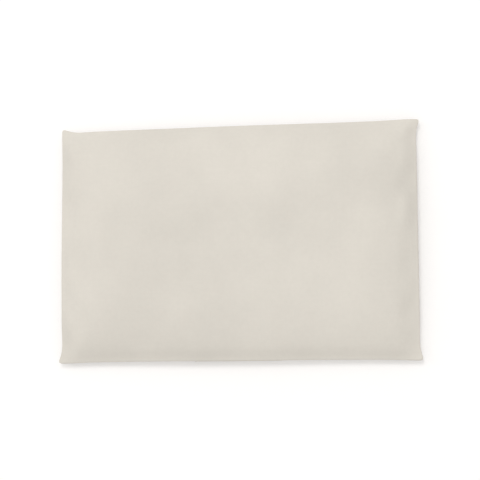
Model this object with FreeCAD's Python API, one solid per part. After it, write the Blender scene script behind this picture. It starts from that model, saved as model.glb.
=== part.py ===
import FreeCAD, Part

# A weighted eye pillow lying on its back, ready to rest on closed eyes.
#
# A washable cover is sewn round its four sides and turned right side out. Its front is one plain
# panel. Its back is two hemmed panels that overlap across the middle, so the opening needs no
# fastener. The cover holds a sewn pouch of flax seed with a few lavender buds in it.
#
# Millimetres. X runs along the pillow, Y across it and Z up. The origin is the middle of the
# flat patch on which the pillow rests.
#
# Every layer of cloth is the gap between two crowned solids, one inside the other: a dome above the
# seam's plane, or a belly below it that the table flattens. Both end in a knife edge at the seam,
# and both are made of flat facets, because cloth of this kind is soft and takes no exact form.
import math
import os

# Finished cover
COVER_WIDTH = 216.0  # seam to seam along X
COVER_DEPTH = 142.0  # seam to seam along Y
SEAM_HEIGHT = 7.5  # from the table up to the seam
CROWN_RISE = 12.5  # from the seam up to the top of the front panel
BELLY_DROP = 12.0  # how deep the back would hang below the seam with no table under it
SIDE_PULL = 1.6  # how far the filling draws each side in between its corners
EDGE_TURN = 0.8  # 1 would stand the cloth upright at the seam, and less leans it inwards
FACETS_ALONG = 16  # flat facets of a crown from side to side along X
FACETS_ACROSS = 12  # and along Y

# Cover cloth
COVER_CLOTH = 0.5
COVER_ALLOWANCE = 8.0  # cloth turned inside along every seam
OVERLAP_WIDTH = 50.0  # how far the two back panels cover each other
OVERLAP_CENTRE = 0.0  # where the overlap lies along X
HEM_WIDTH = 10.0
HEM_LAYERS = 3  # a hem is folded twice
CUT_GAP = 0.1  # between cloth edges that lie side by side

# Pouch
POUCH_CLOTH = 0.4
POUCH_ALLOWANCE = 6.0
POUCH_SIDE_EASE = 0.7  # between the overlocked edges of the cover and the pouch's seam
POUCH_TOP_EASE = 0.3  # between the front panel and the pouch
CLOSING_LENGTH = 60.0  # of the gap that was sewn shut after filling

# Thread
THREAD = 0.4  # width of a line of stitches
THREAD_DEPTH = 0.3  # how far a line of stitches sinks into the cloth
SEAM_LINE_INSET = 1.0  # from the knife edge in to the seam's stitches
HEM_LINE_INSET = 2.0  # from a hem's inner edge back to its stitches
OVERLOCK_REACH = 2.5  # how far the overlock stitch covers the raw edge
OVERLOCK_THREAD = 0.25

# Lavender buds
BUD_COUNT = 24
BUD_LENGTH = 4.4
BUD_RADIUS = 1.0
BUD_TIP_RADIUS = 0.45
BUD_SIDES = 6

# Worked out from the sizes above
HALF_WIDTH = COVER_WIDTH / 2
HALF_DEPTH = COVER_DEPTH / 2
STACK_LAYERS = HEM_LAYERS + 1  # cloth at a hem: the hem itself and the other panel
FLAP_EDGE = OVERLAP_CENTRE - OVERLAP_WIDTH / 2  # the outer, right panel's hemmed edge
TUCK_EDGE = OVERLAP_CENTRE + OVERLAP_WIDTH / 2  # the inner, left panel's hemmed edge
POUCH_INSET = COVER_ALLOWANCE + OVERLOCK_THREAD + POUCH_SIDE_EASE
POUCH_RISE = CROWN_RISE - COVER_CLOTH - POUCH_TOP_EASE
POUCH_FLOOR = STACK_LAYERS * COVER_CLOTH
POUCH_DROP = BELLY_DROP - POUCH_FLOOR


def profile(turn):
    """How far out and how high a crown is, as shares of its half span and rise, at an angle."""
    out = math.sin(EDGE_TURN * turn) / math.sin(EDGE_TURN * math.pi / 2)
    rise = math.cos(turn) * math.sqrt(1 + math.sin(turn) ** 2)
    return out, rise


def turns(facets):
    """The angles of that many facets and one more, from one seam to the other."""
    return [math.pi * (i / facets - 0.5) for i in range(facets + 1)]


def crown_point(inset, rise, turn_x, turn_y):
    """A point of a crown whose seam lies inset from the cover's seam."""
    out_x, rise_x = profile(turn_x)
    out_y, rise_y = profile(turn_y)
    x = (HALF_WIDTH - inset - SIDE_PULL * math.cos(turn_y) ** 2) * out_x
    y = (HALF_DEPTH - inset - SIDE_PULL * math.cos(turn_x) ** 2) * out_y
    return FreeCAD.Vector(x, y, SEAM_HEIGHT + rise * rise_x * rise_y)


def facet(*corners):
    """A flat face between corners."""
    return Part.Face(Part.makePolygon(corners + corners[:1]))


def outline(inset, height):
    """The face inside the seam's line at an inset, at a height."""
    quarter = math.pi / 2
    along = turns(FACETS_ALONG)
    across = turns(FACETS_ACROSS)
    points = [crown_point(inset, 0, turn, -quarter) for turn in along[:-1]]
    points += [crown_point(inset, 0, quarter, turn) for turn in across[:-1]]
    points += [crown_point(inset, 0, turn, quarter) for turn in reversed(along[1:])]
    points += [crown_point(inset, 0, -quarter, turn) for turn in reversed(across[1:])]
    lift = FreeCAD.Vector(0, 0, height - SEAM_HEIGHT)
    return facet(*[point + lift for point in points])


def crowned_solid(inset, rise, floor=-BELLY_DROP):
    """A dome over the seam's plane, or, if rise is negative, a belly flattened at floor."""
    grid = [[crown_point(inset, rise, tx, ty) for tx in turns(FACETS_ALONG)]
            for ty in turns(FACETS_ACROSS)]
    faces = [outline(inset, SEAM_HEIGHT)]
    for j in range(FACETS_ACROSS):
        for i in range(FACETS_ALONG):
            a, b, c, d = grid[j][i], grid[j][i + 1], grid[j + 1][i + 1], grid[j + 1][i]
            # The diagonal points at the pillow's nearest corner, so that no facet lies flat there
            if (i < FACETS_ALONG / 2) == (j < FACETS_ACROSS / 2):
                faces += [facet(a, b, c), facet(a, c, d)]
            else:
                faces += [facet(a, b, d), facet(b, c, d)]
    solid = Part.makeSolid(Part.makeShell(faces))
    if solid.Volume < 0:
        solid.reverse()
    return solid if rise > 0 else solid.common(slab(z_from=floor))


def slab(x_from=-COVER_WIDTH, x_to=COVER_WIDTH, y_from=-COVER_DEPTH, y_to=COVER_DEPTH,
         z_from=-BELLY_DROP, z_to=SEAM_HEIGHT + 2 * CROWN_RISE):
    """A box between limits, open past the pillow where none is given."""
    corner = FreeCAD.Vector(x_from, y_from, z_from)
    return Part.makeBox(x_to - x_from, y_to - y_from, z_to - z_from, corner)


def outline_prism(inset, z_from, z_to):
    """The plan outline at an inset, standing between two heights."""
    return outline(inset, z_from).extrude(FreeCAD.Vector(0, 0, z_to - z_from))


def ring(outer, inner, z_from, z_to):
    """A flat frame that follows the seam, between two insets and two heights."""
    hole = outline_prism(inner, z_from, z_to)
    return outline_prism(outer, z_from, z_to).cut(hole)


def fused(shapes):
    """One solid of shapes that touch."""
    first, *rest = shapes
    return first.fuse(rest)


def cavity(space, inset, z_from, z_to):
    """What a panel leaves of the space inside it.

    Its seam allowance, between the two heights, reaches in from the edge to the inset.
    """
    return space.cut(slab(z_from=z_from, z_to=z_to)).fuse(outline_prism(inset, z_from, z_to))


def cover_dome(layers):
    """The space above the seam inside that many layers of cover cloth."""
    inward = layers * COVER_CLOTH
    return crowned_solid(inward, CROWN_RISE - inward)


def cover_belly(layers):
    """The space below the seam inside that many layers of cover cloth, or part of a layer."""
    inward = layers * COVER_CLOTH
    return crowned_solid(inward, inward - BELLY_DROP, inward)


def pouch_dome(layers):
    """The space above the seam inside that many layers of pouch cloth."""
    inward = layers * POUCH_CLOTH
    return crowned_solid(POUCH_INSET + inward, POUCH_RISE - inward)


def pouch_belly(layers):
    """The space below the seam inside that many layers of pouch cloth."""
    inward = layers * POUCH_CLOTH
    return crowned_solid(POUCH_INSET + inward, inward - POUCH_DROP, POUCH_FLOOR + inward)


def make_cover_seam_thread():
    """The line of stitches that joins the three cover panels round all four sides."""
    middle = SEAM_HEIGHT
    return ring(SEAM_LINE_INSET, SEAM_LINE_INSET + THREAD, middle - THREAD / 2, middle + THREAD / 2)


def make_cover_front():
    """The front panel: the dome, with its seam allowance turned inside on every side."""
    room = cavity(cover_dome(1), COVER_ALLOWANCE, SEAM_HEIGHT, SEAM_HEIGHT + COVER_CLOTH)
    return cover_dome(0).cut(room)


def terraces(levels, steps):
    """Spaces side by side along X as one solid.

    Each step has its limits along X, the cloth layers it lies inside, and the layers of
    seam allowance above it.
    """
    return fused([
        levels[layers].common(slab(x_from, x_to, z_to=SEAM_HEIGHT - tucked * COVER_CLOTH))
        for x_from, x_to, layers, tucked in steps
    ])


def back_panel(levels, outside, inside):
    """A back panel: the cloth between two sets of terraces, with its allowance turned inside."""
    window = outline_prism(COVER_ALLOWANCE, SEAM_HEIGHT - 2 * COVER_CLOTH, SEAM_HEIGHT)
    return terraces(levels, outside).cut(terraces(levels, inside).fuse(window))


def make_back_right(levels):
    """The outer back panel, from the right side to the hem that shows."""
    hem_end = FLAP_EDGE + HEM_WIDTH
    outside = [(FLAP_EDGE, COVER_WIDTH, 0, 0)]
    inside = [(FLAP_EDGE, hem_end, HEM_LAYERS, 1), (hem_end, COVER_WIDTH, 1, 1)]
    return back_panel(levels, outside, inside)


def make_back_left(levels):
    """The inner back panel, which steps over the other panel's hem and on beneath the pouch."""
    up = FLAP_EDGE - CUT_GAP
    down = FLAP_EDGE + HEM_WIDTH + CUT_GAP
    hem_start = TUCK_EDGE - HEM_WIDTH
    outside = [
        (-COVER_WIDTH, up, 0, 0),
        (up, down, HEM_LAYERS, 1),
        (down, TUCK_EDGE, 1, 1),
    ]
    inside = [
        (-COVER_WIDTH, up - COVER_CLOTH, 1, 1),
        (up - COVER_CLOTH, down + COVER_CLOTH, STACK_LAYERS, 2),
        (down + COVER_CLOTH, hem_start, 2, 2),
        (hem_start, TUCK_EDGE, STACK_LAYERS, 2),
    ]
    return back_panel(levels, outside, inside)


def make_hem_thread(x_from, layers):
    """A line of stitches across the back, sunk into the cloth that starts at that layer."""
    sunk = layers + THREAD_DEPTH / COVER_CLOTH
    below_allowance = SEAM_HEIGHT - (layers + 1) * COVER_CLOTH
    line = slab(x_from, x_from + THREAD, z_to=below_allowance)
    return cover_belly(layers).common(line).cut(cover_belly(sunk))


def make_overlock_thread():
    """The overlock stitch that wraps the raw edges of the seam allowances inside the cover."""
    outer = COVER_ALLOWANCE - OVERLOCK_REACH
    inner = COVER_ALLOWANCE + OVERLOCK_THREAD
    top = SEAM_HEIGHT + COVER_CLOTH
    stretches = [
        (-COVER_WIDTH, FLAP_EDGE - CUT_GAP - COVER_CLOTH, 1),
        (FLAP_EDGE - CUT_GAP - COVER_CLOTH, TUCK_EDGE, 2),
        (TUCK_EDGE, COVER_WIDTH, 1),
    ]
    wraps = []
    for x_from, x_to, panels in stretches:
        bottom = SEAM_HEIGHT - panels * COVER_CLOTH
        wrap = ring(outer, inner, bottom - OVERLOCK_THREAD, top + OVERLOCK_THREAD)
        raw_edges = ring(0, COVER_ALLOWANCE, bottom, top)
        wraps.append(wrap.cut(raw_edges).common(slab(x_from, x_to)))
    return fused(wraps)


def make_pouch_threads():
    """The pouch's seam stitches, and the stitches that closed the filling gap on one short side."""
    inset = POUCH_INSET + SEAM_LINE_INSET
    line = ring(inset, inset + THREAD, SEAM_HEIGHT - THREAD / 2, SEAM_HEIGHT + THREAD / 2)
    gap = slab(x_from=0, y_from=-CLOSING_LENGTH / 2, y_to=CLOSING_LENGTH / 2)
    return line.cut(gap), line.common(gap)


def bud():
    """A lavender bud: a six-sided calyx, widest in the middle, standing on its end."""
    def section(radius, height):
        angles = [2 * math.pi * i / BUD_SIDES for i in range(BUD_SIDES + 1)]
        return Part.makePolygon(
            [FreeCAD.Vector(radius * math.cos(a), radius * math.sin(a), height) for a in angles]
        )

    half = BUD_LENGTH / 2
    rings = [(BUD_TIP_RADIUS, -half), (BUD_RADIUS, 0), (BUD_TIP_RADIUS, half)]
    return Part.makeLoft([section(radius, height) for radius, height in rings], True, True)


def make_lavender_buds():
    """Buds mixed through the seed on a widening spiral, each lying its own way."""
    golden_turn = math.pi * (3 - math.sqrt(5))
    reach_x = HALF_WIDTH - POUCH_INSET - POUCH_ALLOWANCE - 2 * BUD_LENGTH
    reach_y = HALF_DEPTH - POUCH_INSET - POUCH_ALLOWANCE - 2 * BUD_LENGTH
    buds = []
    for i in range(BUD_COUNT):
        share = math.sqrt((i + 0.5) / BUD_COUNT)
        turn = i * golden_turn
        place = FreeCAD.Vector(
            reach_x * share * math.cos(turn),
            reach_y * share * math.sin(turn),
            SEAM_HEIGHT + BUD_RADIUS * math.sin(i),
        )
        flat = FreeCAD.Rotation(FreeCAD.Vector(0, 1, 0), 90)
        heading = FreeCAD.Rotation(FreeCAD.Vector(0, 0, 1), math.degrees(turn))
        lying = bud()
        lying.Placement = FreeCAD.Placement(place, heading.multiply(flat))
        buds.append(lying)
    return Part.makeCompound(buds)


def make_pouch():
    """The two pouch panels, their two threads and the seed inside."""
    thread, closing_thread = make_pouch_threads()
    lines = thread.fuse(closing_thread)
    inset = POUCH_INSET + POUCH_ALLOWANCE
    upper = cavity(pouch_dome(1), inset, SEAM_HEIGHT, SEAM_HEIGHT + POUCH_CLOTH)
    lower = cavity(pouch_belly(1), inset, SEAM_HEIGHT - POUCH_CLOTH, SEAM_HEIGHT)
    top = pouch_dome(0).cut(upper).cut(lines)
    bottom = pouch_belly(0).cut(lower).cut(lines)
    return top, bottom, thread, closing_thread, upper.fuse(lower)


def make_parts():
    """Every piece of the pillow by name."""
    levels = [cover_belly(layers) for layers in range(STACK_LAYERS + 1)]
    seam_thread = make_cover_seam_thread()
    right_thread = make_hem_thread(FLAP_EDGE + HEM_WIDTH - HEM_LINE_INSET, 0)
    left_thread = make_hem_thread(TUCK_EDGE - HEM_WIDTH + HEM_LINE_INSET, 1)
    pouch_top, pouch_bottom, pouch_thread, closing_thread, seed = make_pouch()
    buds = make_lavender_buds()
    return {
        "cover_front_panel": make_cover_front().cut(seam_thread),
        "cover_back_left_panel": make_back_left(levels).cut([seam_thread, left_thread]),
        "cover_back_right_panel": make_back_right(levels).cut([seam_thread, right_thread]),
        "cover_seam_thread": seam_thread,
        "cover_overlock_thread": make_overlock_thread(),
        "right_hem_thread": right_thread,
        "left_hem_thread": left_thread,
        "pouch_top_panel": pouch_top,
        "pouch_bottom_panel": pouch_bottom,
        "pouch_seam_thread": pouch_thread,
        "pouch_closing_thread": closing_thread,
        "flax_seed_fill": seed.cut(buds),
        "lavender_buds": buds,
    }


def main():
    os.makedirs("parts", exist_ok=True)
    for name, shape in make_parts().items():
        shape.exportStep(f"parts/{name}.step")
        print(f"{name}: {len(shape.Solids)} solids, {shape.Volume:.1f} mm3, valid {shape.isValid()}")


main()
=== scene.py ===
"""A weighted eye pillow: its cotton cover, the stitching, the seed pouch inside it, and a plain stage."""
import functools
import math
import random

import bmesh
import bpy
from bpy.props import FloatProperty, FloatVectorProperty, IntProperty, PointerProperty
from mathutils import Matrix, Vector, noise


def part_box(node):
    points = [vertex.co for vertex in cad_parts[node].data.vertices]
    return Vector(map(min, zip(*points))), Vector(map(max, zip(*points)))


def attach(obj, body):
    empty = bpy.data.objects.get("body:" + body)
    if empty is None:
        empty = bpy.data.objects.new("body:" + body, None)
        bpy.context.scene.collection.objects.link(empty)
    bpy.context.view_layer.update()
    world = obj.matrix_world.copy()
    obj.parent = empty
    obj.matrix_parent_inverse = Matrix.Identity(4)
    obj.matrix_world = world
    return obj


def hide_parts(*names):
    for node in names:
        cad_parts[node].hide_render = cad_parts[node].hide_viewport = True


bl_info = {
    "name": "Eye Pillow",
    "version": (1, 0, 0),
    "blender": (4, 5, 0),
    "location": "View3D > Sidebar > Eye Pillow",
    "description": "Builds a seed-filled eye pillow with a cotton cover and an envelope back",
    "category": "Add Mesh",
}

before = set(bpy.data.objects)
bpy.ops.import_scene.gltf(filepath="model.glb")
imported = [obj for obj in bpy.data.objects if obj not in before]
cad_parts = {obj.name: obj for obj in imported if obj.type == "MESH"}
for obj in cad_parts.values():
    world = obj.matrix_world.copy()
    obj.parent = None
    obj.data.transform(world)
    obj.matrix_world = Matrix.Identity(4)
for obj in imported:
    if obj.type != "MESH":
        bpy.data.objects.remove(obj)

MM = 0.001
NEAR = MM / 100  # places of the flat pattern closer than this are the same
CUT_SNAP = 0.2 * MM  # a cut takes in grid points closer than this
FRONT, BACK = 0, 1
COVER_LOW, COVER_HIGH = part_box("cover_front_panel")
PLAN = COVER_HIGH - COVER_LOW
RIGHT_PANEL_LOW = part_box("cover_back_right_panel")[0]
LEFT_PANEL_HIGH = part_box("cover_back_left_panel")[1]
RIGHT_HEM_LINE = sum(corner.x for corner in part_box("right_hem_thread")) / 2
LEFT_HEM_LINE = sum(corner.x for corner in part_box("left_hem_thread")) / 2
POUCH_LOW, POUCH_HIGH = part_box("pouch_top_panel")
CLOSING_LOW, CLOSING_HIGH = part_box("pouch_closing_thread")
BUDS_LOW, BUDS_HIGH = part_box("lavender_buds")
FILLING_DRAW = 2.2 * MM  # how much shorter the filled cover is than its flat cloth, each way


# ------------------------------------------------------------------ sizes and colours a user may change


def length(name, description, default):
    """A size in metres."""
    return FloatProperty(name=name, description=description, default=default, unit="LENGTH", precision=5)


def colour(name, description, default):
    """A colour as the shaders take it, in linear red, green and blue."""
    return FloatVectorProperty(name=name, description=description, default=default, subtype="COLOR",
                               size=3, min=0.0, max=1.0)


class PillowSizes(bpy.types.PropertyGroup):
    """Sizes of the cover, the pouch and the filling."""

    cover_length: length("Cover length", "Seam to seam along X when flat", PLAN.x + FILLING_DRAW)
    cover_width: length("Cover width", "Seam to seam along Y when flat", PLAN.y + FILLING_DRAW)
    cover_cloth: length("Cover cloth", "Thickness of the cover's cloth", 0.5 * MM)
    cover_allowance: length("Cover allowance", "Cloth turned inside along each seam", 8 * MM)
    flap_edge: length("Flap edge", "Where the outer back panel's hem shows, along X", RIGHT_PANEL_LOW.x)
    tuck_edge: length("Tuck edge", "Where the inner back panel ends, along X", LEFT_PANEL_HIGH.x)
    hem_width: length("Hem width", "How far a hem is folded over", 10 * MM)
    pouch_cloth: length("Pouch cloth", "Thickness of the pouch's cloth", 0.4 * MM)
    pouch_allowance: length("Pouch allowance", "Pouch cloth turned inside along each seam", 6 * MM)
    stitch: length("Stitch", "Length of one stitch", 2.5 * MM)
    thread: length("Thread", "Thickness of the sewing thread", 0.28 * MM)
    seed: length("Seed", "Length of one flax seed", 4.6 * MM)
    seed_spacing: length("Seed spacing", "Distance between the seeds that show", 3.3 * MM)
    bud: length("Bud", "Length of one lavender bud", 4.4 * MM)
    bud_count: IntProperty(name="Buds", description="How many lavender buds", default=24, min=1)


class PillowColours(bpy.types.PropertyGroup):
    """Colours of the cloth, the thread and the filling."""

    cotton: colour("Cotton", "The cover's natural cotton", (0.739, 0.702, 0.634))
    muslin: colour("Muslin", "The pouch's unbleached cloth", (0.62, 0.55, 0.44))
    thread: colour("Thread", "The sewing thread", (0.74, 0.70, 0.63))
    flax: colour("Flax", "The seed", (0.20, 0.085, 0.032))
    lavender: colour("Lavender", "The dried buds", (0.17, 0.14, 0.27))
    floor: colour("Floor", "The floor under the pillow", (0.82, 0.81, 0.80))


# ------------------------------------------------------------------ the cloth as a pair of surfaces

SIM_SCALE = 10.0  # Blender's cloth is steadier on things a few metres long
SIM_CELL = 2.4 * MM
SIM_FRAMES = 60
SIM_PRESSURE = 6.6
SIM_START_HEIGHT = 12 * MM
SIM_START_CROWN = 3.0 * MM
EASING_PASSES = 8
IN_PLANE_EASE = 0.15  # share by which a place moves back to where its flat pattern puts it
STITCH_CLEARANCE = 0.1 * MM  # under the cloth, for the hem's thread
SEAM_EASE = 4.0 * MM  # how far in from the seam its thickness is felt
SEAM_RISE = 4.6 * MM
SEAM_REACH = 20.0 * MM  # how far in the back is lifted with the seam
SEAM_SHOULDER = 8.0 * MM  # how far in the front reaches its full rise
SEAM_DROP = 0.30  # share of the rise that the seam itself lacks
CORNER_SAG = 0.8  # share of the rise that a corner lacks
LUMP_INSET = 12.0 * MM  # how far in the seed's lumps reach their full height
PUCKER_HEIGHT = 3.4 * MM
PUCKER_SPACING = 17.0 * MM
PUCKER_REACH = 14.0 * MM  # how far in from a short seam they run out
PUCKER_INSET = 3.0 * MM  # and how far in they start
SEAM_LINE_INSET = 1.2 * MM  # from the seam in to its stitches
# where the seed has gathered: place on the flat pattern, reach and height
SEED_LUMPS = (
    (Vector((-38, 8)) * MM, 34 * MM, 1.2 * MM),
    (Vector((14, -14)) * MM, 30 * MM, 1.5 * MM),
    (Vector((46, -32)) * MM, 22 * MM, 0.9 * MM),
    (Vector((58, 22)) * MM, 36 * MM, 1.1 * MM),
    (Vector((-74, -34)) * MM, 26 * MM, 1.0 * MM),
    (Vector((-2, 42)) * MM, 26 * MM, 0.8 * MM),
)


def ramp(value, start, end):
    """0 before start, 1 after end, and a smooth change between them."""
    share = min(max((value - start) / (end - start), 0.0), 1.0)
    return share * share * (3 - 2 * share)


class Cloth:
    """Two panels sewn together round their edges, as grids of points over their flat pattern."""

    def __init__(self, span, columns, rows, points):
        self.span = span
        self.columns = columns
        self.rows = rows
        self.points = points
        self.normals = {key: self.slope(*key) for key in points}

    def slope(self, side, i, j):
        """The outward normal at a grid point."""
        p = self.points
        left, right = max(i - 1, 0), min(i + 1, self.columns)
        low, high = max(j - 1, 0), min(j + 1, self.rows)
        along = p[side, right, j] - p[side, left, j]
        across = p[side, i, high] - p[side, i, low]
        out = along.cross(across) if side == FRONT else across.cross(along)
        return out.normalized() if out.length > 0 else Vector((0, 0, 1 if side == FRONT else -1))

    def blend(self, table, side, u, v):
        """A value of the grid between its points."""
        x = min(max((u / self.span[0] + 0.5) * self.columns, 0.0), self.columns - 1e-6)
        y = min(max((v / self.span[1] + 0.5) * self.rows, 0.0), self.rows - 1e-6)
        i, j = int(x), int(y)
        a, b = x - i, y - j
        low = table[side, i, j].lerp(table[side, i + 1, j], a)
        high = table[side, i, j + 1].lerp(table[side, i + 1, j + 1], a)
        return low.lerp(high, b)

    def point(self, side, u, v):
        """A point of the cloth's middle surface."""
        return self.blend(self.points, side, u, v)

    def normal(self, side, u, v):
        """The outward direction there."""
        return self.blend(self.normals, side, u, v).normalized()

    def inset(self, u, v):
        """How far in from the seam a place of the flat pattern lies."""
        return min(self.span[0] / 2 - abs(u), self.span[1] / 2 - abs(v))

    def seam_axes(self, u, v):
        """The directions out of the seam, and from the back to the front, near the seam."""
        front, back = self.normal(FRONT, u, v), self.normal(BACK, u, v)
        away = front + back
        up = front - back
        return away.normalized(), up.normalized()

    def middle(self, u, v):
        """The point halfway between the two panels."""
        return (self.point(FRONT, u, v) + self.point(BACK, u, v)) / 2


def mesh_of(name, bm):
    """A mesh made of a bmesh, which is freed."""
    mesh = bpy.data.meshes.new(name)
    bm.to_mesh(mesh)
    bm.free()
    return mesh


def square_mesh(name, half_side):
    """A flat square on the plane z = 0."""
    bm = bmesh.new()
    bmesh.ops.create_grid(bm, x_segments=2, y_segments=2, size=half_side)
    return mesh_of(name, bm)


def add_object(name, data):
    """An object of the scene."""
    thing = bpy.data.objects.new(name, data)
    bpy.context.scene.collection.objects.link(thing)
    return thing


def grid_places(columns, rows):
    """Every point of a grid by column and row, with its place from -1 to 1 each way."""
    for j in range(rows + 1):
        for i in range(columns + 1):
            yield i, j, i / columns * 2 - 1, j / rows * 2 - 1


def flat_bag(span, columns, rows):
    """A closed bag of two grids that share their rim, crowned a little, in simulation units."""
    bm = bmesh.new()
    keys = [bm.verts.layers.int.new(name) for name in ("side", "column", "row")]
    for side in (FRONT, BACK):
        grid = bmesh.ops.create_grid(bm, x_segments=columns, y_segments=rows, size=0.5)["verts"]
        for vert in grid:
            u, v = vert.co.x * 2, vert.co.y * 2
            column, row = round((vert.co.x + 0.5) * columns), round((vert.co.y + 0.5) * rows)
            vert[keys[0]], vert[keys[1]], vert[keys[2]] = side, column, row
            crown = math.sqrt(max(0.0, (1 - u * u) * (1 - v * v))) * SIM_START_CROWN
            lump = 1 + 0.4 * noise.noise(Vector((u * 2.2 + 3.1, v * 1.7 + 5.2, side * 7.7)))
            height = SIM_START_HEIGHT + (crown if side == FRONT else -crown) * lump
            vert.co = Vector((vert.co.x * span[0], vert.co.y * span[1], height)) * SIM_SCALE
        if side == BACK:
            bmesh.ops.reverse_faces(bm, faces=list({face for vert in grid for face in vert.link_faces}))
    rim = [vert for vert in bm.verts if vert[keys[1]] in (0, columns) or vert[keys[2]] in (0, rows)]
    bmesh.ops.remove_doubles(bm, verts=rim, dist=1e-6)
    return mesh_of("bag", bm)


def read_bag(mesh, columns, rows):
    """The bag's points by side, column and row, in metres."""
    side, column, row = (mesh.attributes[name].data for name in ("side", "column", "row"))
    points = {}
    for vert in mesh.vertices:
        i, j = column[vert.index].value, row[vert.index].value
        place = vert.co / SIM_SCALE
        sides = (FRONT, BACK) if i in (0, columns) or j in (0, rows) else (side[vert.index].value,)
        for each in sides:
            points[each, i, j] = place
    return points


def add_cloth_solver(bag):
    """Blender's cloth, blown up by the filling's pressure and held down by its own weight."""
    cloth = bag.modifiers.new("cloth", "CLOTH")
    settings = cloth.settings
    settings.quality = 6
    settings.mass = 0.3
    settings.air_damping = 2.0
    settings.tension_stiffness = 20
    settings.compression_stiffness = 20
    settings.shear_stiffness = 10
    settings.bending_stiffness = 0.4
    settings.tension_damping = 5
    settings.compression_damping = 5
    settings.shear_damping = 5
    settings.bending_damping = 0.5
    settings.use_pressure = True
    settings.uniform_pressure_force = SIM_PRESSURE
    cloth.collision_settings.distance_min = 0.005
    cloth.collision_settings.use_self_collision = False
    cloth.point_cache.frame_end = SIM_FRAMES


def simulated_points(span, columns, rows):
    """Fills the bag and lets it settle on a table."""
    scene = bpy.context.scene
    bag = add_object("bag", flat_bag(span, columns, rows))
    table = add_object("table", square_mesh("table", span[0] * SIM_SCALE))
    table.modifiers.new("collision", "COLLISION")
    table.collision.thickness_outer = 0.01
    table.collision.cloth_friction = 5
    add_cloth_solver(bag)
    for step in range(1, SIM_FRAMES + 1):
        scene.frame_set(step)
    settled = bag.evaluated_get(bpy.context.evaluated_depsgraph_get())
    mesh = bpy.data.meshes.new_from_object(settled)
    points = read_bag(mesh, columns, rows)
    for thing in (bag, table):
        old = thing.data
        bpy.data.objects.remove(thing)
        bpy.data.meshes.remove(old)
    bpy.data.meshes.remove(mesh)
    scene.frame_set(1)
    return points


def seam_rise(side, u, v, inset):
    """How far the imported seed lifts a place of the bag, so that its seam stands clear of the table.

    u and v run from -1 to 1. The corners hold no seed and hang back down.
    """
    corner = 1 - CORNER_SAG * (u * v) ** 2
    if side == FRONT:
        crown = 1 - ((1 - abs(u) ** 3) * (1 - abs(v) ** 1.25)) ** 1.2
        return SEAM_RISE * corner * crown * (1 - SEAM_DROP * (1 - ramp(inset, 0, SEAM_SHOULDER)))
    return SEAM_RISE * corner * (1 - SEAM_DROP) * (1 - ramp(inset, 0, SEAM_REACH))


def eased(points, columns, rows):
    """The bag with its sharp creases eased out."""
    for _ in range(EASING_PASSES):
        softer = dict(points)
        for (side, i, j), point in points.items():
            across, along = 0 < i < columns, 0 < j < rows
            around = []
            if across:
                around += [points[side, i - 1, j], points[side, i + 1, j]]
            if along:
                around += [points[side, i, j - 1], points[side, i, j + 1]]
            if around:
                softer[side, i, j] = point.lerp(sum(around, Vector()) / len(around), 0.5)
        points = softer
    return points


def lumps(side, place, inset, side_inset):
    """The seed's soft lumps on the face, and the puckers that the thread draws along the two short seams."""
    if side == BACK:
        return 0.0
    swell = 0.0
    for centre, reach, height in SEED_LUMPS:
        swell += height * (1 - ramp((place - centre).length, 0, reach * 1.4))
    at_side = 1 - ramp(side_inset, 0, PUCKER_REACH)
    pucker = noise.noise(Vector((place.x * 6, place.y / PUCKER_SPACING, 3.7)))
    pull = 4 * at_side * (1 - at_side) * ramp(inset, 0, PUCKER_INSET)
    return swell * ramp(inset, 0, LUMP_INSET) + PUCKER_HEIGHT * pucker * pull


def settle(points, span, columns, rows):
    """Centres the bag on the plane z = 0, with its seam held up by the seed."""
    points = eased(points, columns, rows)
    low = min(p.z for p in points.values())
    xs = [p.x for p in points.values()]
    ys = [p.y for p in points.values()]
    shift = Vector(((min(xs) + max(xs)) / 2, (min(ys) + max(ys)) / 2, low - STITCH_CLEARANCE))
    shrink = Vector(((max(xs) - min(xs)) / span[0], (max(ys) - min(ys)) / span[1]))
    settled = {}
    for (side, i, j), point in points.items():
        u, v = 2 * i / columns - 1, 2 * j / rows - 1
        inset = min((1 - abs(u)) * span[0], (1 - abs(v)) * span[1]) / 2
        side_inset = (1 - abs(u)) * span[0] / 2
        flat = Vector((u * span[0], v * span[1])) / 2
        rise = seam_rise(side, u, v, inset) + lumps(side, flat, inset, side_inset)
        place = point - shift + Vector((0, 0, rise))
        straight = Vector((flat.x * shrink.x, flat.y * shrink.y, place.z))
        settled[side, i, j] = place.lerp(straight, IN_PLANE_EASE)
    return settled


def cover_cloth(sizes):
    """The cover's two surfaces, filled and settled."""
    span = (sizes.cover_length, sizes.cover_width)
    columns, rows = round(span[0] / SIM_CELL), round(span[1] / SIM_CELL)
    make = simulated_points
    points = settle(make(span, columns, rows), span, columns, rows)
    half_cloth = Vector((0, 0, sizes.cover_cloth / 2))
    for key, point in points.items():
        points[key] = point + half_cloth
    return Cloth(span, columns, rows, points)


def pouch_cloth(cover, sizes):
    """The pouch's two surfaces, which fill the cover inside its allowances."""
    span = tuple((POUCH_HIGH - POUCH_LOW).xy)
    columns, rows = round(span[0] / SIM_CELL), round(span[1] / SIM_CELL)
    ease = 0.25 * MM
    gap = sizes.cover_cloth / 2 + sizes.pouch_cloth / 2 + ease
    hem_stack = 4 * sizes.cover_cloth
    shoulder = 16 * MM
    points = {}
    for i, j, across, along in grid_places(columns, rows):
        u, v = across * span[0] / 2, along * span[1] / 2
        inset = min(span[0] / 2 - abs(u), span[1] / 2 - abs(v))
        fall = max(0.0, 1 - inset / shoulder)
        fullness = math.sqrt(1 - fall * fall)
        middle = cover.middle(u, v)
        for side in (FRONT, BACK):
            room = gap if side == FRONT else gap + hem_stack
            wall = cover.point(side, u, v) - cover.normal(side, u, v) * room
            points[side, i, j] = middle.lerp(wall, fullness)
    return Cloth(span, columns, rows, points)


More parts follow.
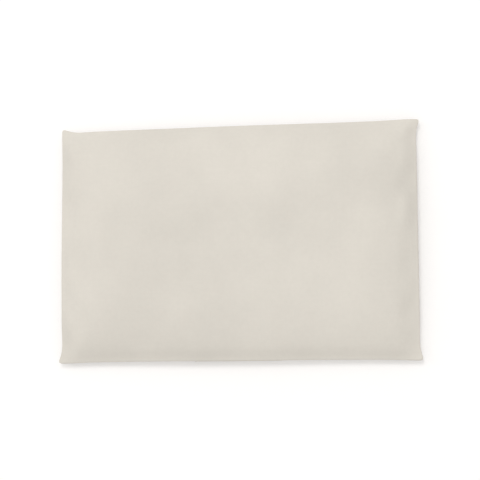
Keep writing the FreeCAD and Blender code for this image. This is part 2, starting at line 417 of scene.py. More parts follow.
# ------------------------------------------------------------------ meshes


def new_piece(name, bm, material, replaced):
    """Makes an object of a bmesh, rides it on the pillow and hides the CAD piece that it stands for."""
    for face in bm.faces:
        face.smooth = True
    mesh = mesh_of(name, bm)
    mesh.materials.append(material)
    piece = add_object(name, mesh)
    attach(piece, "root")
    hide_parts(replaced)
    return piece


def stuffed_panel(name, bm, material, replaced, thickness):
    """A piece of cloth round the filling: rounds its middle surface off and gives it its thickness."""
    piece = new_piece(name, bm, material, replaced)
    rounding = piece.modifiers.new("rounding", "SUBSURF")
    rounding.levels = 1
    rounding.render_levels = 1
    wall = piece.modifiers.new("thickness", "SOLIDIFY")
    wall.thickness = thickness
    wall.offset = 0
    wall.use_even_offset = False


def flat_panel(cloth, u_low, u_high, cuts=()):
    """The flat pattern of a panel as a grid, between two limits along X, with extra columns at cuts."""
    bm = bmesh.new()
    bmesh.ops.create_grid(bm, x_segments=cloth.columns, y_segments=cloth.rows, size=0.5)
    bmesh.ops.scale(bm, vec=(cloth.span[0], cloth.span[1], 1), verts=bm.verts)
    limits = [(u_low, True, False), (u_high, False, True)]
    for cut, inner, outer in limits + [(line, False, False) for line in cuts]:
        if abs(cut) < cloth.span[0] / 2 - 10 * NEAR:
            everything = bm.verts[:] + bm.edges[:] + bm.faces[:]
            bmesh.ops.bisect_plane(bm, geom=everything, plane_co=(cut, 0, 0), plane_no=(1, 0, 0),
                                   dist=CUT_SNAP, clear_inner=inner, clear_outer=outer)
    return bm


def on_seam(cloth, edge):
    """Whether an edge of the flat pattern lies along the seam."""
    return all(cloth.inset(vert.co.x, vert.co.y) < NEAR for vert in edge.verts)


def grow(bm, edges):
    """Extrudes edges and returns the new edges, and the new vertices with the old ones they came from."""
    old = {vert for edge in edges for vert in edge.verts}
    made = bmesh.ops.extrude_edge_only(bm, edges=edges)["geom"]
    new_edges = [item for item in made if isinstance(item, bmesh.types.BMEdge)
                 and all(vert in made for vert in item.verts)]
    pairs = []
    for vert in (item for item in made if isinstance(item, bmesh.types.BMVert)):
        partner = next(edge.other_vert(vert) for edge in vert.link_edges if edge.other_vert(vert) in old)
        pairs.append((vert, partner))
    return new_edges, pairs


def no_lift(u):
    """How far a panel stands off its surface where nothing lies under it, along X."""
    return 0.0


def plain_wrap(u):
    """Where a panel's seam fold is centred and its radius, in thicknesses of cloth, along X."""
    return 1.0, 0.5


class Tailoring:
    """How one panel lies on the bag: its side, its layer, and how it folds at the seam."""

    fold_out = 0.3  # how far every seam fold stands out, in thicknesses of cloth
    fold_out_by_radius = 0.4  # and how much more for each thickness of its radius

    def __init__(self, cloth, side, thickness, allowance, lift=no_lift, wrap=plain_wrap):
        self.cloth = cloth
        self.side = side
        self.thickness = thickness
        self.allowance = allowance
        self.lift = lift
        self.wrap = wrap
        self.flat = {}

    def facing(self, u, v):
        """The direction from the seam's middle plane to this panel."""
        up = self.cloth.seam_axes(u, v)[1]
        return up if self.side == FRONT else -up

    def sheet(self, u, v, extra=0.0):
        """A point of the panel itself, or of a hem layer that lies extra off it."""
        centre, radius = self.wrap(u)
        share = max(0.0, 1 - self.cloth.inset(u, v) / SEAM_EASE) ** 2
        normal = self.cloth.normal(self.side, u, v)
        off = normal * (self.lift(u) * (1 - share) + extra)
        raised = self.facing(u, v) * (centre + radius) * self.thickness * share
        return self.cloth.point(self.side, u, v) + off + raised

    def fold(self, u, v, turn):
        """A point of the fold at the seam, from the panel at no turn to the allowance at half a turn."""
        centre, radius = self.wrap(u)
        away = self.cloth.seam_axes(u, v)[0]
        up = centre + radius * math.cos(turn)
        out = (self.fold_out + self.fold_out_by_radius * radius) * math.sin(turn)
        return self.cloth.point(self.side, u, v) + (self.facing(u, v) * up + away * out) * self.thickness

    def turned_in(self, u, v):
        """A point of the allowance, which lies near the middle plane."""
        centre, radius = self.wrap(u)
        return self.cloth.middle(u, v) + self.facing(u, v) * (centre - radius) * self.thickness

    def inward(self, u, v):
        """The direction across the seam on the flat pattern, towards the middle of the panel."""
        half_u, half_v = self.cloth.span[0] / 2, self.cloth.span[1] / 2
        at_u = abs(u) > half_u - NEAR
        at_v = abs(v) > half_v - NEAR
        return Vector((-math.copysign(at_u, u), -math.copysign(at_v, v)))


def add_seam_fold(bm, panel, edges):
    """Turns the panel round at the seam and runs its allowance back inside."""
    for turn in (math.pi / 3, 2 * math.pi / 3, math.pi):
        edges, pairs = grow(bm, edges)
        for vert, partner in pairs:
            u, v = panel.flat[partner]
            panel.flat[vert] = (u, v)
            vert.co = panel.fold(u, v, turn)
    steps = 4
    start = {vert: panel.flat[vert] for edge in edges for vert in edge.verts}
    for step in range(1, steps + 1):
        edges, pairs = grow(bm, edges)
        moved = {}
        for vert, partner in pairs:
            u, v = start[partner]
            moved[vert] = (u, v)
            inner = Vector((u, v)) + panel.inward(u, v) * panel.allowance * step / steps
            panel.flat[vert] = (inner.x, inner.y)
            vert.co = panel.turned_in(inner.x, inner.y)
        start = moved


def add_hem(bm, panel, edges, edge_u, width, into):
    """Folds a hem twice. into is 1 where the panel lies on the +X side of its hemmed edge, else -1."""
    layer = panel.thickness
    steps = 4
    profile = [(-into * layer / 2, layer / 2)]
    profile += [(into * width * step / steps, layer) for step in range(steps + 1)]
    profile += [(into * (width + layer / 2), 1.5 * layer)]
    profile += [(into * width * step / steps, 2 * layer) for step in range(steps, 0, -1)]
    profile += [(into * 2 * layer, 2 * layer)]
    for along, deep in profile:
        edges, pairs = grow(bm, edges)
        for vert, partner in pairs:
            v = panel.flat[partner][1]
            panel.flat[vert] = (edge_u + along, v)
            vert.co = panel.sheet(edge_u + along, v, -deep)


def tailor(bm, panel, hem=None):
    """Lays a flat pattern on the bag, with its seam fold and its hem, and maps the weave along it."""
    seam_edges = [edge for edge in bm.edges if edge.is_boundary and on_seam(panel.cloth, edge)]
    hem_edges = []
    if hem:
        edge_u = hem[0]
        hem_edges = [edge for edge in bm.edges if edge.is_boundary
                     and all(abs(vert.co.x - edge_u) < 10 * NEAR for vert in edge.verts)]
    for vert in bm.verts:
        panel.flat[vert] = (vert.co.x, vert.co.y)
    for vert in bm.verts:
        vert.co = panel.sheet(*panel.flat[vert])
    add_seam_fold(bm, panel, seam_edges)
    if hem:
        add_hem(bm, panel, hem_edges, *hem)
    bmesh.ops.recalc_face_normals(bm, faces=bm.faces)
    weave = bm.loops.layers.uv.new("weave")
    for face in bm.faces:
        for loop in face.loops:
            loop[weave].uv = panel.flat[loop.vert]


def seam_stations(cloth, inset, spacing):
    """Places of the flat pattern all round at an inset, evenly spaced along each side."""
    half_u, half_v = cloth.span[0] / 2 - inset, cloth.span[1] / 2 - inset
    corners = [Vector((-half_u, -half_v)), Vector((half_u, -half_v)),
               Vector((half_u, half_v)), Vector((-half_u, half_v))]
    stations = []
    for start, end in zip(corners, corners[1:] + corners[:1]):
        count = max(1, round((end - start).length / spacing))
        stations += [start.lerp(end, step / count) for step in range(count)]
    return stations


def joined(*parts):
    """One bmesh of several."""
    whole = bmesh.new()
    for part in parts:
        mesh = mesh_of("part", part)
        whole.from_mesh(mesh)
        bpy.data.meshes.remove(mesh)
    return whole


def rounded_grain(segments, rings):
    """A small ball of radius 1 with its poles along X, to be repeated."""
    bm = bmesh.new()
    bmesh.ops.create_uvsphere(bm, u_segments=segments, v_segments=rings, radius=1.0,
                              matrix=Matrix.Rotation(math.pi / 2, 4, "Y"))
    return mesh_of("grain", bm)


def repeated(template, places, batch=60):
    """Copies of a small mesh, one at each matrix."""
    batches = []
    for first in range(0, len(places), batch):
        bm = bmesh.new()
        for place in places[first:first + batch]:
            copy = template.copy()
            copy.transform(place)
            bm.from_mesh(copy)
            bpy.data.meshes.remove(copy)
        batches.append(bm)
    bpy.data.meshes.remove(template)
    return joined(*batches)


def stitch_place(start, end, thickness):
    """Where a stitch lies: along its line, with a gap at each end where the thread dips into the cloth."""
    half_share = 0.46  # of the line, from the stitch's middle to its end
    along = end - start
    turn = along.to_track_quat("X", "Z").to_matrix().to_4x4()
    size = Matrix.Diagonal((along.length * half_share, thickness / 2, thickness / 2, 1))
    return Matrix.Translation((start + end) / 2) @ turn @ size


def stitches(pairs, thickness):
    """Stitches between pairs of points."""
    return repeated(rounded_grain(6, 5), [stitch_place(start, end, thickness) for start, end in pairs])


def seam_stitches(cloth, size, layer, gap=0.0):
    """The stitches on both faces of a seam, all round but for a gap in the middle of the +X side."""
    faces = []
    for face in (1, -1):
        points = []
        for place in seam_stations(cloth, SEAM_LINE_INSET, size.stitch):
            at_end = place.x > cloth.span[0] / 2 - SEAM_LINE_INSET - NEAR
            if at_end and abs(place.y) < gap / 2:
                continue
            up = cloth.seam_axes(*place)[1]
            points.append(cloth.middle(*place) + up * face * (layer + size.thread / 3))
        pairs = zip(points, points[1:] + points[:1])
        sewn = [(start, end) for start, end in pairs if (end - start).length < 2 * size.stitch]
        faces.append(stitches(sewn, size.thread))
    return joined(*faces)


def thread_tube(points, thickness):
    """A thread that follows points, closed on itself."""
    curve = bpy.data.curves.new("thread", "CURVE")
    curve.dimensions = "3D"
    curve.bevel_depth = thickness / 2
    curve.bevel_resolution = 0
    curve.resolution_u = 1
    spline = curve.splines.new("POLY")
    spline.points.add(len(points) - 1)
    for place, point in zip(spline.points, points):
        place.co = (*point, 1)
    spline.use_cyclic_u = True
    holder = add_object("thread", curve)
    mesh = bpy.data.meshes.new_from_object(holder.evaluated_get(bpy.context.evaluated_depsgraph_get()))
    bpy.data.objects.remove(holder)
    bpy.data.curves.remove(curve)
    bm = bmesh.new()
    bm.from_mesh(mesh)
    bpy.data.meshes.remove(mesh)
    bmesh.ops.recalc_face_normals(bm, faces=bm.faces)
    return bm


# ------------------------------------------------------------------ materials


def new_group(name, inputs, outputs):
    """A shader node group with named inputs and outputs."""
    group = bpy.data.node_groups.new(name, "ShaderNodeTree")
    for label, kind, default in inputs:
        socket = group.interface.new_socket(label, in_out="INPUT", socket_type=kind)
        if default is not None:
            socket.default_value = default
    for label, kind in outputs:
        group.interface.new_socket(label, in_out="OUTPUT", socket_type=kind)
    return group, group.nodes.new("NodeGroupInput"), group.nodes.new("NodeGroupOutput")


def math_node(tree, operation, a, b=None):
    """A math node whose inputs are sockets or numbers."""
    node = tree.nodes.new("ShaderNodeMath")
    node.operation = operation
    for socket, value in zip(node.inputs, (a, b)):
        if isinstance(value, bpy.types.NodeSocket):
            tree.links.new(value, socket)
        elif value is not None:
            socket.default_value = value
    return node.outputs[0]


def maths(tree, *operations):
    """One short function for each of some operations of the math node in a tree."""
    return [functools.partial(math_node, tree, operation) for operation in operations]


def mix_colours(tree, factor, a, b):
    """A mix of two colours by a factor, each a socket or a value."""
    node = tree.nodes.new("ShaderNodeMix")
    node.data_type = "RGBA"
    for socket, value in ((node.inputs[0], factor), (node.inputs[6], a), (node.inputs[7], b)):
        if isinstance(value, bpy.types.NodeSocket):
            tree.links.new(value, socket)
        else:
            socket.default_value = value
    return node.outputs[2]


def noise_value(tree, vector, scale, detail=3.0, roughness=0.5):
    """A noise texture's value."""
    node = tree.nodes.new("ShaderNodeTexNoise")
    node.inputs["Scale"].default_value = scale
    node.inputs["Detail"].default_value = detail
    node.inputs["Roughness"].default_value = roughness
    tree.links.new(vector, node.inputs["Vector"])
    return node.outputs[0]


def plain_weave_group():
    """Plain-woven cloth: threads that pass over and under each other, with slubs and faint soiling."""
    group, source, result = new_group(
        "Plain weave",
        [("Place", "NodeSocketVector", None), ("Surface", "NodeSocketVector", None),
         ("Colour", "NodeSocketColor", (0.8, 0.8, 0.8, 1)), ("Threads per metre", "NodeSocketFloat", 2600.0),
         ("Slub", "NodeSocketFloat", 0.3), ("Variation", "NodeSocketFloat", 0.06)],
        [("Colour", "NodeSocketColor"), ("Height", "NodeSocketFloat"), ("Roughness", "NodeSocketFloat")],
    )
    place, surface = source.outputs["Place"], source.outputs["Surface"]
    add, subtract, multiply, sine, size = maths(group, "ADD", "SUBTRACT", "MULTIPLY", "SINE", "ABSOLUTE")
    split = group.nodes.new("ShaderNodeSeparateXYZ")
    group.links.new(place, split.inputs[0])
    wobble = multiply(noise_value(group, place, 180.0), 0.6)
    waves = []
    for axis in (0, 1):
        thread_number = multiply(split.outputs[axis], source.outputs["Threads per metre"])
        waves.append(sine(multiply(add(thread_number, wobble), math.pi)))
    warp, weft = waves
    ridges = add(size(warp), size(weft))
    over = add(multiply(ridges, 0.35), multiply(multiply(warp, weft), 0.3))
    slub_runs = []
    for scale in ((30.0, 900.0, 1.0), (900.0, 30.0, 1.0)):
        stretched = group.nodes.new("ShaderNodeMapping")
        stretched.inputs["Scale"].default_value = scale
        group.links.new(place, stretched.inputs["Vector"])
        slub_runs.append(noise_value(group, stretched.outputs[0], 1.0, 2.0))
    slubs = add(*slub_runs)
    group.links.new(add(over, multiply(slubs, source.outputs["Slub"])), result.inputs["Height"])
    cloudy = noise_value(group, surface, 22.0, 4.0)
    fine = noise_value(group, surface, 420.0, 2.0)
    swing = subtract(add(multiply(cloudy, 1.4), multiply(slubs, 0.1)), 0.8)
    shade = add(1.0, multiply(swing, source.outputs["Variation"]))
    grain = add(1.0, multiply(subtract(fine, 0.5), 0.05))
    scaled = group.nodes.new("ShaderNodeVectorMath")
    scaled.operation = "SCALE"
    group.links.new(source.outputs["Colour"], scaled.inputs[0])
    group.links.new(multiply(shade, grain), scaled.inputs["Scale"])
    group.links.new(scaled.outputs[0], result.inputs["Colour"])
    group.links.new(add(0.82, multiply(over, 0.08)), result.inputs["Roughness"])
    return group


def start_material(name):
    """A material with its tree, its Principled shader, and the place on the object in metres."""
    material = bpy.data.materials.new(name)
    material.use_nodes = True
    tree = material.node_tree
    place = tree.nodes.new("ShaderNodeTexCoord").outputs["Object"]
    return material, tree, tree.nodes["Principled BSDF"], place


def set_shader(tree, shader, colour_socket, roughness, **constants):
    """Links the shader's colour and roughness, and sets its constant sockets by name."""
    tree.links.new(colour_socket, shader.inputs["Base Color"])
    tree.links.new(roughness, shader.inputs["Roughness"])
    for name, value in constants.items():
        shader.inputs[name.replace("_", " ")].default_value = value


def add_bump(tree, shader, height, distance, strength=1.0):
    """Feeds a height to the shader's normal."""
    bump = tree.nodes.new("ShaderNodeBump")
    bump.inputs["Strength"].default_value = strength
    bump.inputs["Distance"].default_value = distance
    tree.links.new(height, bump.inputs["Height"])
    tree.links.new(bump.outputs[0], shader.inputs["Normal"])


def cloth_material(name, base, threads, variation, relief, sheen):
    """Woven cloth in a colour, with its threads per metre, unevenness and height of the weave."""
    material, tree, shader, place = start_material(name)
    weave = tree.nodes.new("ShaderNodeGroup")
    weave.node_tree = bpy.data.node_groups.get("Plain weave") or plain_weave_group()
    flat = tree.nodes.new("ShaderNodeUVMap")
    flat.uv_map = "weave"
    tree.links.new(flat.outputs[0], weave.inputs["Place"])
    tree.links.new(place, weave.inputs["Surface"])
    weave.inputs["Colour"].default_value = (*base, 1)
    weave.inputs["Threads per metre"].default_value = threads
    weave.inputs["Variation"].default_value = variation
    set_shader(tree, shader, weave.outputs["Colour"], weave.outputs["Roughness"],
               Sheen_Weight=sheen, Sheen_Roughness=0.5, Specular_IOR_Level=0.2)
    add_bump(tree, shader, weave.outputs["Height"], relief, 0.7)
    return material


def thread_material(base):
    """Spun thread: fine twisted plies, with painted shade darkening the grooves between them."""
    material, tree, shader, place = start_material("sewing_thread")
    add, multiply = maths(tree, "ADD", "MULTIPLY")
    wave = tree.nodes.new("ShaderNodeTexWave")
    wave.bands_direction = "DIAGONAL"
    wave.inputs["Scale"].default_value = 1400.0
    wave.inputs["Distortion"].default_value = 1.5
    tree.links.new(place, wave.inputs["Vector"])
    # painted shade: the colour goes darker where the plies' bump is low, in the grooves between them
    dark = tuple(part * 0.78 for part in base)
    tint = mix_colours(tree, wave.outputs["Fac"], (*dark, 1), (*base, 1))
    fuzz = noise_value(tree, place, 2500.0)
    set_shader(tree, shader, tint, add(0.55, multiply(fuzz, 0.3)), Sheen_Weight=0.2)
    add_bump(tree, shader, wave.outputs["Fac"], 0.04 * MM, 0.8)
    return material


def seed_material(base):
    """Glossy whole seed, each a little lighter or darker."""
    material, tree, shader, place = start_material("flax_seed")
    add, multiply = maths(tree, "ADD", "MULTIPLY")
    tone = noise_value(tree, place, 260.0, 1.0)
    mottle = noise_value(tree, place, 1800.0, 3.0)
    light = tuple(min(1.0, part * 2.1) for part in base)
    dark = tuple(part * 0.55 for part in base)
    body = mix_colours(tree, tone, (*dark, 1), (*light, 1))
    mottled = mix_colours(tree, multiply(mottle, 0.35), body, (*dark, 1))
    set_shader(tree, shader, mottled, add(0.22, multiply(mottle, 0.2)), Coat_Weight=0.25)
    add_bump(tree, shader, mottle, 0.03 * MM, 0.5)
    return material


def bud_material(base):
    """Dried lavender: blue-violet calyx with grey down along its ribs."""
    material, tree, shader, place = start_material("lavender_bud")
    add, multiply = maths(tree, "ADD", "MULTIPLY")
    down = noise_value(tree, place, 900.0, 4.0, 0.7)
    grey = tuple(0.5 * part + 0.16 for part in base)
    tint = mix_colours(tree, down, (*base, 1), (*grey, 1))
    set_shader(tree, shader, tint, add(0.7, multiply(down, 0.25)), Sheen_Weight=0.4)
    add_bump(tree, shader, down, 0.05 * MM)
    return material


def floor_material(base):
    """A floor that the camera and mirrors see near white, and that keeps the pillow's shadow."""
    material, tree, shader, place = start_material("floor")
    multiply, most = maths(tree, "MULTIPLY", "MAXIMUM")
    speck = multiply(noise_value(tree, place, 60.0), 0.01)
    tint = mix_colours(tree, speck, (*base, 1), (0.9, 0.9, 0.9, 1))
    tree.links.new(tint, shader.inputs["Base Color"])
    shader.inputs["Roughness"].default_value = 0.9
    shader.inputs["Specular IOR Level"].default_value = 0.0
    shader.inputs["Emission Color"].default_value = (1.0, 0.99, 0.985, 1)
    path = tree.nodes.new("ShaderNodeLightPath").outputs
    seen = most(most(path["Is Camera Ray"], path["Is Glossy Ray"]), path["Is Transmission Ray"])
    tree.links.new(multiply(seen, FLOOR_GLOW), shader.inputs["Emission Strength"])
    return material


# ------------------------------------------------------------------ the stage's values

FLOOR_HALF_SIDE = 3.0
FLOOR_GLOW = 0.25  # keeps the floor near white where no shadow falls
WORLD_STRENGTH = 0.75
# each lamp's name, place, side and power
LAMPS = (
    ("key", (-0.15, 0.9, 2.1), 0.7, 12.0),
    ("side", (-1.2, 0.3, 0.8), 0.5, 1.1),
)
FIELD_OF_VIEW = math.radians(20)
CAMERA_AROUND = math.radians(56.34)
CAMERA_ABOVE = math.radians(79.0)
CAMERA_ROLL = math.radians(57.19)
CAMERA_AIM = Vector((1.3, 1.38, 0.0)) * MM
CAMERA_DISTANCE = 0.8153


# ------------------------------------------------------------------ the pieces

_made = {}  # the cloth, by its name and the sizes it was made for


def sizes():
    """The sizes that the user set."""
    return bpy.context.scene.eye_pillow_sizes


def colours():
    """The colours that the user set."""
    return bpy.context.scene.eye_pillow_colours


def made_once(name, make, *facts):
    """A cloth that is made again only when a size has changed."""
    key = (name, *(getattr(sizes(), size) for size in PillowSizes.__annotations__))
    if key not in _made:
        _made[key] = make(*facts, sizes())
    return _made[key]


def the_cover():
    """The cover's cloth, filled and settled."""
    return made_once("cover", cover_cloth)


def the_pouch():
    """The pouch's cloth inside it."""
    return made_once("pouch", pouch_cloth, the_cover())


def material_once(name, make, *facts):
    """A material by name, made the first time."""
    return bpy.data.materials.get(name) or make(*facts)


def cotton():
    """The cover's cloth: fine, close cotton."""
    return material_once("cover_cotton", cloth_material, "cover_cotton", colours().cotton,
                         2600.0, 0.14, 0.06 * MM, 0.25)


def muslin():
    """The pouch's cloth: coarser and more open."""
    return material_once("pouch_muslin", cloth_material, "pouch_muslin", colours().muslin,
                         1500.0, 0.12, 0.09 * MM, 0.15)


def new_stitching(name, bm, replaced):
    """A piece made of sewing thread."""
    material = material_once("sewing_thread", thread_material, colours().thread)
    return new_piece(name, bm, material, replaced)


class EYEPILLOW_OT_front(bpy.types.Operator):
    """Build the cover's front panel, with its seam allowance turned inside"""

    bl_idname = "eye_pillow.front"
    bl_label = "Front panel"

    def execute(self, context):
        cover, size = the_cover(), sizes()
        panel = Tailoring(cover, FRONT, size.cover_cloth, size.cover_allowance)
        bm = flat_panel(cover, -cover.span[0], cover.span[0])
        tailor(bm, panel)
        stuffed_panel("cover_front", bm, cotton(), "cover_front_panel",
                      size.cover_cloth)
        return {"FINISHED"}


class EYEPILLOW_OT_back(bpy.types.Operator):
    """Build the two hemmed back panels that overlap as an envelope"""

    bl_idname = "eye_pillow.back"
    bl_label = "Back panels"

    def execute(self, context):
        cover, size = the_cover(), sizes()
        layer = size.cover_cloth
        flap, tuck, hem = size.flap_edge, size.tuck_edge, size.hem_width
        step = 1.2 * MM

        def outer_wrap(u):
            """The outer panel's seam fold, which goes round the inner panel's where both lie."""
            both = 1 - ramp(u, tuck, tuck + 2 * step)
            return 1 + both, 0.5 + both

        def inner_wrap(u):
            """The inner panel's seam fold, which moves in to make room for the outer one's."""
            both = ramp(u, flap - 2 * step, flap)
            return 1 + both, 0.5

        def inner_lift(u):
            """How far the inner panel lies inside the outer one and its hem."""
            over_hem = ramp(u, flap - step, flap) * (1 - ramp(u, flap + hem, flap + hem + step))
            return -layer * (ramp(u, flap - step, flap) + 2 * over_hem)

        right = Tailoring(cover, BACK, layer, size.cover_allowance, wrap=outer_wrap)
        bm = flat_panel(cover, flap, cover.span[0], (flap + hem, tuck, tuck + 2 * step))
        tailor(bm, right, (flap, hem, 1))
        stuffed_panel("cover_back_right", bm, cotton(), "cover_back_right_panel",
                      layer)
        left = Tailoring(cover, BACK, layer, size.cover_allowance, inner_lift, inner_wrap)
        cuts = (flap - 2 * step, flap - step, flap, flap + hem, flap + hem + step, tuck - hem)
        bm = flat_panel(cover, -cover.span[0], tuck, cuts)
        tailor(bm, left, (tuck, hem, -1))
        stuffed_panel("cover_back_left", bm, cotton(), "cover_back_left_panel",
                      layer)
        return {"FINISHED"}


class EYEPILLOW_OT_stitching(bpy.types.Operator):
    """Sew the cover: its seam, its hems and the overlocked raw edges inside"""

    bl_idname = "eye_pillow.stitching"
    bl_label = "Cover stitching"

    def execute(self, context):
        cover, size = the_cover(), sizes()
        layer = size.cover_cloth
        new_stitching("cover_seam_stitches", seam_stitches(cover, size, layer), "cover_seam_thread")
        loops = []
        reach = 2.5 * MM
        pitch = 1.8 * MM
        turns_each = 12
        stations = seam_stations(cover, size.cover_allowance - reach / 2, pitch / turns_each)
        for step, place in enumerate(stations):
            away, up = cover.seam_axes(*place)
            turn = 2 * math.pi * step / turns_each
            across = away * math.cos(turn) * (reach / 2 + size.thread / 2)
            high = up * math.sin(turn) * (layer * 1.25 + size.thread / 2)
            loops.append(cover.middle(*place) + across + high)
        overlock = thread_tube(loops, size.thread * 0.8)
        new_stitching("cover_overlock_stitches", overlock, "cover_overlock_thread")
        self.sew_hem(cover, size, "right_hem_stitches", RIGHT_HEM_LINE, 0, "right_hem_thread")
        self.sew_hem(cover, size, "left_hem_stitches", LEFT_HEM_LINE, -1, "left_hem_thread")
        return {"FINISHED"}

    def sew_hem(self, cover, size, name, line, outer, node):
        """A straight line of lockstitch through a hem of three layers, with a thread on each of its faces."""
        layer = size.cover_cloth
        end_gap = 2.5 * MM
        half = cover.span[1] / 2 - end_gap
        count = round(2 * half / size.stitch)
        rows = []
        for face, way in ((outer + 0.5, 1), (outer - 2.5, -1)):
            lift = face * layer + way * size.thread * 0.05
            points = []
            for step in range(count + 1):
                v = -half + 2 * half * step / count
                points.append(cover.point(BACK, line, v) + cover.normal(BACK, line, v) * lift)
            rows.append(stitches(list(zip(points, points[1:])), size.thread))
        new_stitching(name, joined(*rows), node)


class EYEPILLOW_OT_pouch(bpy.types.Operator):
    """Build the sewn inner pouch that holds the seed"""

    bl_idname = "eye_pillow.pouch"
    bl_label = "Seed pouch"

    def execute(self, context):
        pouch, size = the_pouch(), sizes()
        layer = size.pouch_cloth
        for name, side in (("pouch_top", FRONT), ("pouch_bottom", BACK)):
            panel = Tailoring(pouch, side, layer, size.pouch_allowance)
            bm = flat_panel(pouch, -pouch.span[0], pouch.span[0])
            tailor(bm, panel)
            stuffed_panel(name, bm, muslin(), f"{name}_panel", layer)
        gap = CLOSING_HIGH.y - CLOSING_LOW.y
        new_stitching("pouch_seam_stitches", seam_stitches(pouch, size, layer, gap), "pouch_seam_thread")
        pitch = 1.6 * MM
        bite = 1.2 * MM
        count = round(gap / pitch)
        rim = pouch.span[0] / 2
        whip = []
        for step in range(count):
            v = gap * step / count - gap / 2
            ahead = v + pitch / 2
            away, up = pouch.seam_axes(rim, v)
            start = pouch.point(FRONT, rim, v) + up * (2 * layer) - away * bite
            crest = pouch.point(FRONT, rim, (v + ahead) / 2) + away * 0.8 * layer
            end = pouch.point(FRONT, rim, ahead) - up * (2 * layer) - away * bite
            whip += [(start, crest), (crest, end)]
        new_stitching("pouch_closing_stitches", stitches(whip, size.thread), "pouch_closing_thread")
        return {"FINISHED"}


class EYEPILLOW_OT_seed(bpy.types.Operator):
    """Fill the pouch with flax seed"""

    bl_idname = "eye_pillow.seed"
    bl_label = "Flax seed"

    def execute(self, context):
        pouch, size = the_pouch(), sizes()
        inset = size.pouch_allowance + 1 * MM
        depth = size.pouch_cloth / 2 + 0.7 * MM
        half = (pouch.span[0] / 2 - inset, pouch.span[1] / 2 - inset)
        bm = bmesh.new()
        rims = []
        for side in (FRONT, BACK):
            grid = bmesh.ops.create_grid(bm, x_segments=60, y_segments=40, size=1.0)["verts"]
            for vert in grid:
                u, v = vert.co.x * half[0], vert.co.y * half[1]
                lump = noise.noise(Vector((u, v, side * MM)) * 300.0) * 0.25 * MM
                vert.co = pouch.point(side, u, v) - pouch.normal(side, u, v) * (depth - lump)
            if side == BACK:
                bmesh.ops.reverse_faces(bm, faces=list({face for vert in grid for face in vert.link_faces}))
            inside = set(grid)
            rims += [edge for edge in bm.edges if edge.is_boundary and edge.verts[0] in inside]
        bmesh.ops.bridge_loops(bm, edges=rims)
        bmesh.ops.recalc_face_normals(bm, faces=bm.faces)
        draw = random.Random(7)
        spacing = size.seed_spacing
        row_share = 0.8  # of the spacing, from one row to the next
        places = []
        for side in (FRONT, BACK):
            for row in range(int(2 * half[1] / (spacing * row_share))):
                for column in range(int(2 * half[0] / spacing)):
                    u = -half[0] + (column + 0.5 * (row % 2) + 0.5 + draw.uniform(-0.2, 0.2)) * spacing
                    v = -half[1] + (row + 0.5 + draw.uniform(-0.2, 0.2)) * spacing * row_share
                    places.append(self.seed_place(pouch, side, u, v, depth, size.seed, draw))
        grain = rounded_grain(6, 4)
        for vert in grain.vertices:
            vert.co.y *= 1 - 0.35 * vert.co.x
        bm = joined(bm, repeated(grain, places))
        seed = material_once("flax_seed", seed_material, colours().flax)
        new_piece("flax_seed", bm, seed, "flax_seed_fill")
        return {"FINISHED"}

    def seed_place(self, pouch, side, u, v, depth, long, draw):
        """How one flat seed lies on the others."""
        normal = pouch.normal(side, u, v)
        place = Matrix.Translation(pouch.point(side, u, v) - normal * depth)
        lie = normal.to_track_quat("Z", "X").to_matrix().to_4x4()
        spin = Matrix.Rotation(draw.uniform(0, 2 * math.pi), 4, "Z")
        tilt = Matrix.Rotation(draw.uniform(-0.25, 0.25), 4, "Y")
        half_long = draw.uniform(0.88, 1.08) * long / 2
        return place @ lie @ spin @ tilt @ Matrix.Diagonal((half_long, half_long * 0.52, half_long * 0.25, 1))


class EYEPILLOW_OT_lavender(bpy.types.Operator):
    """Mix dried lavender buds through the seed"""

    bl_idname = "eye_pillow.lavender"
    bl_label = "Lavender buds"

    def execute(self, context):
        size = sizes()
        draw = random.Random(11)
        middle = (BUDS_LOW + BUDS_HIGH) / 2
        reach = (BUDS_HIGH - BUDS_LOW) / 2
        bm = bmesh.new()
        golden_turn = math.pi * (3 - math.sqrt(5))
        for number in range(size.bud_count):
            share = math.sqrt((number + 0.5) / size.bud_count) * 0.95
            turn = number * golden_turn
            place = middle + Vector((reach.x * share * math.cos(turn), reach.y * share * math.sin(turn),
                                     (reach.z - 1.2 * MM) * math.sin(number)))
            self.add_bud(bm, place, turn, size.bud, draw)
        bmesh.ops.recalc_face_normals(bm, faces=bm.faces)
        violet = material_once("lavender_bud", bud_material, colours().lavender)
        new_piece("lavender", bm, violet, "lavender_buds")
        return {"FINISHED"}

    def add_bud(self, bm, place, turn, long, draw):
        """One bud: a ribbed calyx that narrows to its stalk, open at a toothed mouth."""
        ribs = 10
        made = bmesh.ops.create_uvsphere(bm, u_segments=2 * ribs, v_segments=10, radius=1.0)["verts"]
        width = long * 0.21 * draw.uniform(0.85, 1.05)
        for vert in made:
            height = vert.co.z
            around = math.atan2(vert.co.y, vert.co.x)
            ribbed = 1 + 0.12 * math.cos(ribs * around)
            taper = 1 - 0.35 * ramp(-height, 0.0, 1.0) + 0.1 * ramp(height, 0.3, 0.8)
            tooth = 0.12 * math.cos(5 * around) * ramp(height, 0.6, 0.95)
            vert.co = Vector((vert.co.x * width * ribbed * taper, vert.co.y * width * ribbed * taper,
                              (height + tooth) * long / 2 * 0.9))
        lying = Matrix.Rotation(turn, 4, "Z") @ Matrix.Rotation(math.pi / 2, 4, "Y")
        bmesh.ops.transform(bm, matrix=Matrix.Translation(place) @ lying, verts=made)


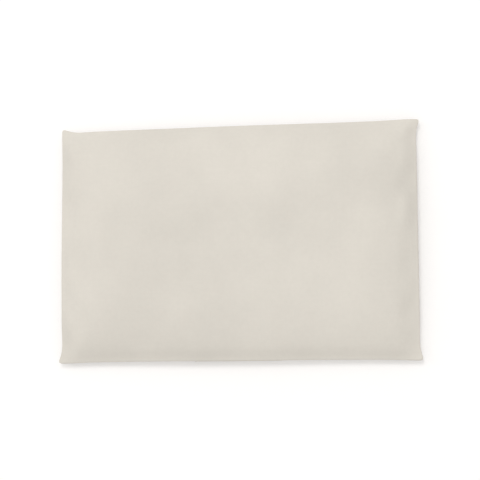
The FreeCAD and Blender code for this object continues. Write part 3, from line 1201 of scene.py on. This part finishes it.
class EYEPILLOW_OT_stage(bpy.types.Operator):
    """Set the floor, the lights and the camera"""

    bl_idname = "eye_pillow.stage"
    bl_label = "Stage"

    def execute(self, context):
        scene = context.scene
        mesh = square_mesh("floor", FLOOR_HALF_SIDE)
        mesh.materials.append(floor_material(colours().floor))
        add_object("floor", mesh)
        for lamp in LAMPS:
            self.light(*lamp)
        world = bpy.data.worlds.new("studio")
        world.use_nodes = True
        background = world.node_tree.nodes["Background"]
        background.inputs["Color"].default_value = (1, 0.99, 0.98, 1)
        background.inputs["Strength"].default_value = WORLD_STRENGTH
        scene.world = world
        scene.view_settings.view_transform = "Standard"
        self.camera(scene)
        return {"FINISHED"}

    def light(self, name, place, size, power):
        """A soft square lamp aimed at the pillow."""
        lamp = bpy.data.lights.new(name, "AREA")
        lamp.energy = power
        lamp.size = size
        holder = add_object(name, lamp)
        holder.location = place
        holder.rotation_euler = (-Vector(place)).to_track_quat("-Z", "Y").to_euler()

    def camera(self, scene):
        """Almost straight above, a little to the right and the front, turned to keep the pillow level."""
        data = bpy.data.cameras.new("camera")
        data.angle = FIELD_OF_VIEW
        data.clip_start = 0.01
        flat, high = math.cos(CAMERA_ABOVE), math.sin(CAMERA_ABOVE)
        toward = Vector((math.sin(CAMERA_AROUND) * flat, -math.cos(CAMERA_AROUND) * flat, high))
        camera = add_object("camera", data)
        camera.location = CAMERA_AIM + toward * CAMERA_DISTANCE
        level = (-toward).to_track_quat("-Z", "Y").to_matrix().to_4x4()
        camera.rotation_euler = (level @ Matrix.Rotation(-CAMERA_ROLL, 4, "Z")).to_euler()
        scene.camera = camera


OPERATORS = (
    EYEPILLOW_OT_front,
    EYEPILLOW_OT_back,
    EYEPILLOW_OT_stitching,
    EYEPILLOW_OT_pouch,
    EYEPILLOW_OT_seed,
    EYEPILLOW_OT_lavender,
    EYEPILLOW_OT_stage,
)


class EYEPILLOW_PT_panel(bpy.types.Panel):
    """The eye pillow's sizes, colours and pieces"""

    bl_idname = "EYEPILLOW_PT_panel"
    bl_label = "Eye Pillow"
    bl_space_type = "VIEW_3D"
    bl_region_type = "UI"
    bl_category = "Eye Pillow"

    def draw(self, context):
        for operator in OPERATORS:
            self.layout.operator(operator.bl_idname)
        for group in (context.scene.eye_pillow_sizes, context.scene.eye_pillow_colours):
            box = self.layout.box()
            for name in group.bl_rna.properties.keys():
                if name not in ("rna_type", "name"):
                    box.prop(group, name)


CLASSES = (PillowSizes, PillowColours, *OPERATORS, EYEPILLOW_PT_panel)


def register():
    """Adds the classes, and the settings to the scene."""
    for each in CLASSES:
        bpy.utils.register_class(each)
    bpy.types.Scene.eye_pillow_sizes = PointerProperty(type=PillowSizes)
    bpy.types.Scene.eye_pillow_colours = PointerProperty(type=PillowColours)


def unregister():
    """Takes them away again."""
    del bpy.types.Scene.eye_pillow_colours
    del bpy.types.Scene.eye_pillow_sizes
    for each in reversed(CLASSES):
        bpy.utils.unregister_class(each)


def main():
    """Builds the pillow."""
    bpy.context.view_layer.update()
    register()
    for operator in OPERATORS:
        family, name = operator.bl_idname.split(".")
        getattr(getattr(bpy.ops, family), name)()


if __name__ == "__main__":
    main()
